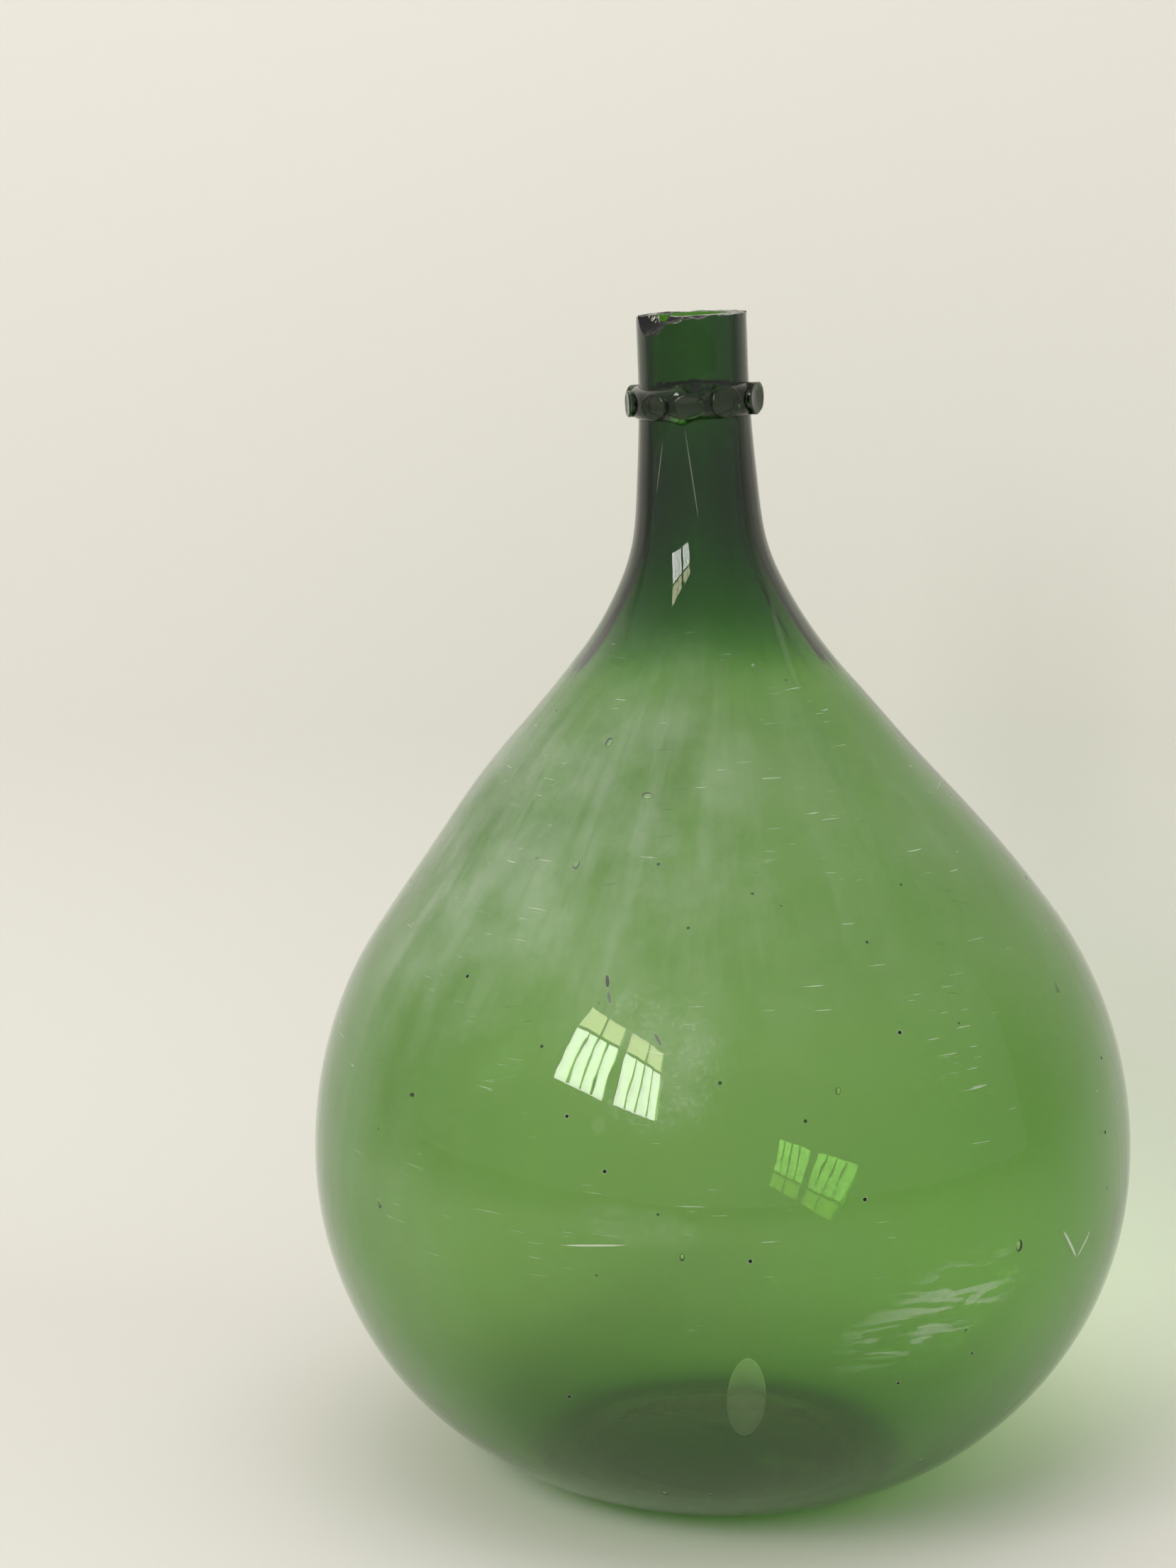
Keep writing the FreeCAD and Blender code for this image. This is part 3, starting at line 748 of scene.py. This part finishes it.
def shut_in_bubbles(bm):
    """Flat hollows midway through the wall, longer upwards than across."""
    skin = BVHTree.FromBMesh(bm)
    for degrees, level, wide, tall in BUBBLES:
        sideways = Vector((math.cos(math.radians(degrees)), math.sin(math.radians(degrees)), 0))
        far = Vector((0, 0, level)) + sideways * 0.4
        near, outward = skin.ray_cast(far, -sideways)[:2]
        inner = skin.ray_cast(near - outward * 1e-5, -outward)[0]
        wall = (near - inner).length
        across = Vector((0, 0, 1)).cross(outward).normalized()
        frame_axes = Matrix((across, outward.cross(across), outward)).transposed().to_4x4()
        place = Matrix.Translation((near + inner) / 2) @ frame_axes
        half = (wide / 2, tall / 2, min(wall * (0.10 if wide > 0.01 else 0.26), wide * 0.4))
        made = bmesh.ops.create_icosphere(bm, subdivisions=4 if wide > 0.01 else 3, radius=1.0,
                                          matrix=place @ Matrix.Diagonal((*half, 1.0)))["verts"]
        if wide > 0.01:
            curve = 1 / (2 * (BODY_RADIUS - BODY_WALL))
            for vert in made:
                low = (vert.co - place.translation).dot(frame_axes.to_3x3().col[1])
                over = (vert.co - place.translation).dot(across)
                vert.co -= outward * (low ** 2 + over ** 2) * curve
        faces = list({face for vert in made for face in vert.link_faces})
        bmesh.ops.reverse_faces(bm, faces=faces)
        for face in faces:
            face.smooth = True


def vessel(material):
    """Body and neck as one thick skin, its rim cracked off and chipped."""
    bm = bmesh.new()
    outside, throat_level = draw_skin(bm, 0.0, 0.0, PUNT_HEIGHT, THROAT_BEND_RADIUS,
                                      THROAT_FLARE, NECK_RADIUS)
    inside, bore_level = draw_skin(bm, BODY_WALL, BASE_WALL, PUNT_HEIGHT + BASE_WALL,
                                   BORE_BEND_RADIUS, 0.0, BORE_RADIUS)
    rim = throat_level + NECK_LENGTH
    for pen, radius in ((outside, NECK_RADIUS), (inside, BORE_RADIUS)):
        pen.line((radius, rim - CRACKED_DEPTH), NECK_SPACING)
        pen.line((radius, rim), RIM_SPACING)
    outside.line((BORE_RADIUS, rim), RIM_SPACING)
    spin_round(bm, AROUND)

    cracked_from = rim - CRACKED_DEPTH
    for vert in bm.verts:
        if vert.co.z > cracked_from:
            out = math.hypot(vert.co.x, vert.co.y)
            height = rim_height(math.atan2(vert.co.y, vert.co.x), out, rim)
            vert.co.z = cracked_from + (vert.co.z - cracked_from) * (height - cracked_from) / CRACKED_DEPTH
    for face in bm.faces:
        middle = face.calc_center_median()
        out = math.hypot(middle.x, middle.y)
        on_rim = BORE_RADIUS + 0.0002 < out < NECK_RADIUS - 0.0002 and middle.z > cracked_from
        face.smooth = not on_rim
    bm.normal_update()
    outside_layer = bm.verts.layers.float.new("outside")
    for vert in bm.verts:
        outer = vert.normal.dot(vert.co - BELLY) > 0
        vert[outside_layer] = 1.0 if outer else 0.0
        vert.co = blown(vert.co, outer)
    shut_in_bubbles(bm)
    return finished("blown_vessel", bm, material), rim


# ---------------------------------------------------------------- ring and bosses

def on_neck(level):
    """From upright about the origin to the leaning neck, at a level above the floor."""
    lean = Matrix.Rotation(-NECK_LEAN, 4, "Y")
    return Matrix.Translation(BELLY) @ lean @ Matrix.Translation((0, 0, level - BELLY_HEIGHT))


RING_SINK = 0.0008
RING_AROUND = 256

# Where the laid-on trail stands higher or lower: degrees round, spread, rise of its top edge,
# rise of its bottom edge and swell outwards. Its end was lapped over its start at the front.
RING_WAVES = (
    (257.0, 9.0, 0.0011, -0.0020, 0.0005),
    (272.0, 8.5, -0.0034, 0.0002, -0.0003),
    (289.0, 9.0, -0.0013, 0.0000, 0.0002),
    (216.0, 24.0, -0.0008, -0.0003, 0.0000),
    (330.0, 20.0, 0.0004, 0.0003, 0.0002),
    (20.0, 18.0, -0.0006, 0.0005, 0.0000),
    (95.0, 12.0, 0.0004, -0.0006, 0.0003),
    (150.0, 20.0, -0.0005, -0.0004, -0.0002),
)


def laid_ring(material, level):
    """The trail of glass round the neck: a rounded band with an uneven top and bottom edge."""
    bm = bmesh.new()
    half = RING_HEIGHT / 2
    outer = NECK_RADIUS + RING_STAND
    inner = NECK_RADIUS - RING_SINK
    edge = RING_EDGE_RADIUS
    pen = Pen(bm, (inner, -half))
    pen.line((outer - edge, -half), 0.0006)
    pen.arc((outer - edge, edge - half), QUARTER, 0.0005)
    pen.line((outer, half - edge), 0.0006)
    pen.arc((outer - edge, half - edge), QUARTER, 0.0005)
    pen.line((inner, half), 0.0006)
    pen.line((inner, -half), 0.0010)
    spin_round(bm, RING_AROUND)
    for vert in bm.verts:
        azimuth = math.atan2(vert.co.y, vert.co.x)
        out = math.hypot(vert.co.x, vert.co.y)
        upper = smoothed(vert.co.z / half, -0.6, 0.8)
        standing = smoothed(out, inner, outer)
        rise = 0.00022 * noise.noise(vert.co * 110.0)
        swell = 0.00012 * noise.noise(vert.co * 80.0 + Vector((4.0, 1.0, 6.0)))
        for degrees, spread, top, bottom, outward in RING_WAVES:
            share = bump_at(angle_from(azimuth, degrees), 0.0, spread)
            rise += share * (top * upper + bottom * (1 - upper))
            swell += share * outward
        wider = 1 + swell * standing / out
        vert.co = Vector((vert.co.x * wider, vert.co.y * wider, vert.co.z + rise))
    bmesh.ops.transform(bm, matrix=on_neck(level), verts=bm.verts)
    for face in bm.faces:
        face.smooth = True
    return finished("laid_ring", bm, material)


# How each boss was pressed: width and height against true, shift up, tilt in degrees, dish.
BOSS_PRESSINGS = (
    (1.00, 0.96, 0.0002, 1.5, 0.0004),
    (0.94, 1.02, -0.0004, -2.0, 0.0004),
    (1.05, 0.95, 0.0003, 1.0, 0.0005),
    (0.98, 0.92, -0.0002, 2.0, 0.0004),
    (1.03, 1.00, 0.0004, -1.5, 0.0004),
    (0.95, 0.90, -0.0002, 2.0, 0.0004),
    (1.00, 0.88, -0.0008, -2.0, 0.0005),
    (1.06, 0.84, -0.0006, 1.5, 0.0004),
    (1.14, 1.05, 0.0004, -1.0, 0.0005),
    (1.06, 1.08, 0.0006, 1.5, 0.0005),
)


BOSS_ROOT = 0.003
BOSS_EDGE = 0.0006
BOSS_LIP = 0.0005


def pressed_boss(material, number, azimuth, level):
    """A button of glass pressed on the ring, its face dished and its edge pushed up."""
    wide, tall, shift, tilt, dish = BOSS_PRESSINGS[number - 1]
    bm = bmesh.new()
    base = NECK_RADIUS + RING_STAND - BOSS_ROOT
    top = NECK_RADIUS + RING_STAND + BOSS_RISE
    crest = BOSS_RADIUS - BOSS_EDGE
    hollow = crest - BOSS_LIP
    bowl = (hollow ** 2 + dish ** 2) / (2 * dish)
    pen = Pen(bm, (0.0, base))
    pen.line((BOSS_RADIUS, base), 0.0010)
    pen.line((BOSS_RADIUS, top - BOSS_EDGE), 0.0006)
    pen.arc((crest, top - BOSS_EDGE), QUARTER, 0.00012)
    pen.line((hollow, top), 0.0004)
    pen.arc((0.0, top - dish + bowl), -math.atan2(hollow, bowl - dish), 0.0005)
    spin_round(bm, 72)
    for vert in bm.verts:
        out = math.hypot(vert.co.x, vert.co.y)
        ragged = noise.noise(vert.co * 170.0 + Vector((number * 3.1, 0, 0)))
        wider = 1 + 0.035 * ragged * smoothed(out, 0.0, BOSS_RADIUS)
        vert.co = Vector((vert.co.x * wider * tall, vert.co.y * wider * wide,
                          vert.co.z + 0.00012 * ragged * smoothed(vert.co.z, base, top)))
    outwards = Matrix.Rotation(math.radians(azimuth), 4, "Z") @ Matrix.Rotation(QUARTER, 4, "Y")
    tipped = Matrix.Translation((0, 0, base)) @ Matrix.Rotation(math.radians(tilt), 4, "X")
    seat = on_neck(level + shift) @ outwards @ tipped @ Matrix.Translation((0, 0, -base))
    bmesh.ops.transform(bm, matrix=seat, verts=bm.verts)
    for face in bm.faces:
        face.smooth = True
    return finished(f"pressed_boss_{number:02d}", bm, material)


# ---------------------------------------------------------------- the scene

scene = bpy.context.scene
scene.view_settings.view_transform = "Standard"
camera()
stage()
window()
overhead()
surroundings()

body, rim_level = vessel(worn_glass("green_glass"))
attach(body, "root")
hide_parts("glass_vessel")

ring_level = rim_level - RING_DROP
ring = laid_ring(trail_glass("ring_glass", 160.0, 0.05), ring_level)
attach(ring, "root")
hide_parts("neck_ring")

boss_glass = trail_glass("boss_glass", 240.0, 0.03)
for number, azimuth in enumerate(BOSS_AZIMUTHS, start=1):
    boss = pressed_boss(boss_glass, number, azimuth, ring_level)
    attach(boss, "root")
    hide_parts(f"ring_boss_{number:02d}")
